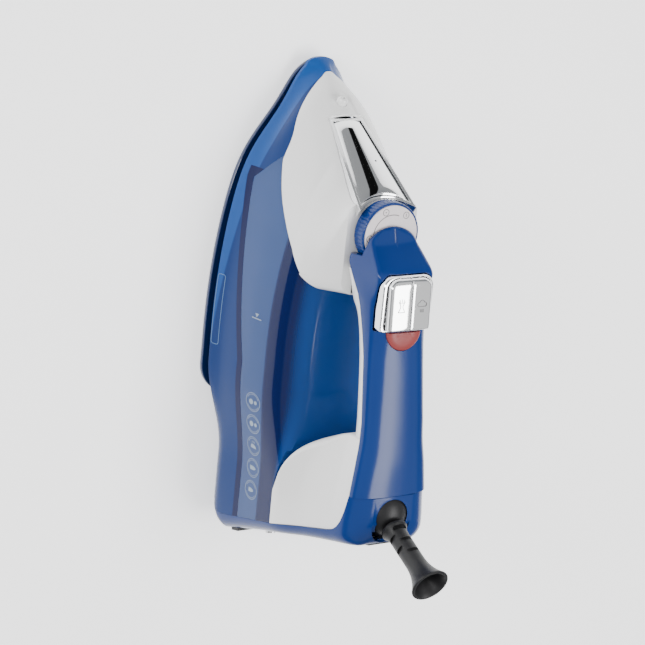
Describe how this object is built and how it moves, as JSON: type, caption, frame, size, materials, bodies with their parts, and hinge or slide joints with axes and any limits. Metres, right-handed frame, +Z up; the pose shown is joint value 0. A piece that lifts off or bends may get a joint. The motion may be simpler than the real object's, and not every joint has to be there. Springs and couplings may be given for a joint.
{
  "type": "clothes iron",
  "caption": "Steam clothes iron with soleplate, water tank, dial, spray and steam buttons and swivel cord guard.",
  "frame": {"origin": "centre of the soleplate's flat face, halfway along its length", "axes": "+X towards the nose, +Z up from the soleplate to the handle, +Y to the iron's left side"},
  "size_m": [0.3024, 0.123, 0.1915],
  "materials": {
    "blue_coat": "gloss",
    "steel": "satin",
    "brass": "satin",
    "black_plastic": "matte",
    "blue_plastic": "gloss",
    "tank_blue": "translucent",
    "white_plastic": "gloss",
    "chrome": "polished",
    "grey_print": "gloss",
    "red_lens": "translucent",
    "rubber": "matte",
    "amber": "gloss",
    "red_wire": "satin"
  },
  "bodies": {
    "body": {"soleplate": "blue_coat", "steam_chamber_cover": "steel", "heating_element": "steel", "thermostat": "brass", "thermal_fuse": "steel", "heat_shield": "black_plastic", "skirt": "blue_plastic", "water_tank": "tank_blue", "front_hood": "white_plastic", "spray_nozzle": "white_plastic", "fill_frame": "chrome", "fill_door_pin": "steel", "fill_chute": "white_plastic", "valve_seat": "brass", "handle_top_shell": "blue_plastic", "handle_lower_shell": "white_plastic", "rear_side_shell": "white_plastic", "rear_cover": "blue_plastic", "heel_feet": "rubber", "button_bezel": "chrome", "spray_pump": "white_plastic", "steam_pump": "white_plastic", "spray_spring": "steel", "steam_spring": "steel", "spray_hose": "white_plastic", "steam_hose": "white_plastic", "indicator_lens": "red_lens", "indicator_lamp": "amber", "terminal_block": "white_plastic", "lead_wires": "red_wire", "cord_clamp": "white_plastic", "swivel_retainer": "black_plastic", "heel_screws": "steel", "sole_screws": "steel"},
    "dial": {"dial_ring": "blue_plastic", "dial_disc": "grey_print", "dial_shaft": "steel", "valve_cam": "white_plastic"},
    "steam_valve": {"valve_needle": "steel"},
    "fill_cover": {"fill_door": "chrome", "fill_plug": "rubber"},
    "spray_key": {"spray_button": "chrome", "spray_piston": "white_plastic"},
    "steam_key": {"steam_button": "chrome", "steam_piston": "white_plastic"},
    "swivel": {"swivel_ball": "black_plastic"},
    "guard": {"cord_guard": "black_plastic"}
  },
  "joints": [
    {"name": "dial_turn", "type": "hinge", "parent": "body", "child": "dial", "pos_m": [0.022, 0, 0.0968], "axis": [0, 0, 1], "range_deg": [-150, 150]},
    {"name": "valve_lift", "type": "slide", "parent": "body", "child": "steam_valve", "axis": [0, 0, 1], "range_m": [-0.0016, 0.0016]},
    {"name": "fill_cover_open", "type": "hinge", "parent": "body", "child": "fill_cover", "pos_m": [0.0744, 0, 0.0478], "axis": [0, 1, 0], "range_deg": [0, 75]},
    {"name": "spray_press", "type": "slide", "parent": "body", "child": "spray_key", "axis": [0, 0, -1], "range_m": [0, 0.004], "stiffness_N_per_m": 500, "springref_m": -0.003, "deforming": ["spray_spring"]},
    {"name": "steam_press", "type": "slide", "parent": "body", "child": "steam_key", "axis": [0, 0, -1], "range_m": [0, 0.004], "stiffness_N_per_m": 500, "springref_m": -0.003, "deforming": ["steam_spring"]},
    {"name": "guard_tilt", "type": "hinge", "parent": "body", "child": "swivel", "pos_m": [-0.145, 0, 0.128], "axis": [0, 1, 0], "range_deg": [-16, 16]},
    {"name": "guard_spin", "type": "hinge", "parent": "swivel", "child": "guard", "pos_m": [-0.145, 0, 0.128], "axis": [-0.4004, 0, 0.9164], "continuous": true}
  ],
  "couplings": [
    {"joint": "valve_lift", "follows": "dial_turn", "m_per_rad": 0.000573}
  ]
}
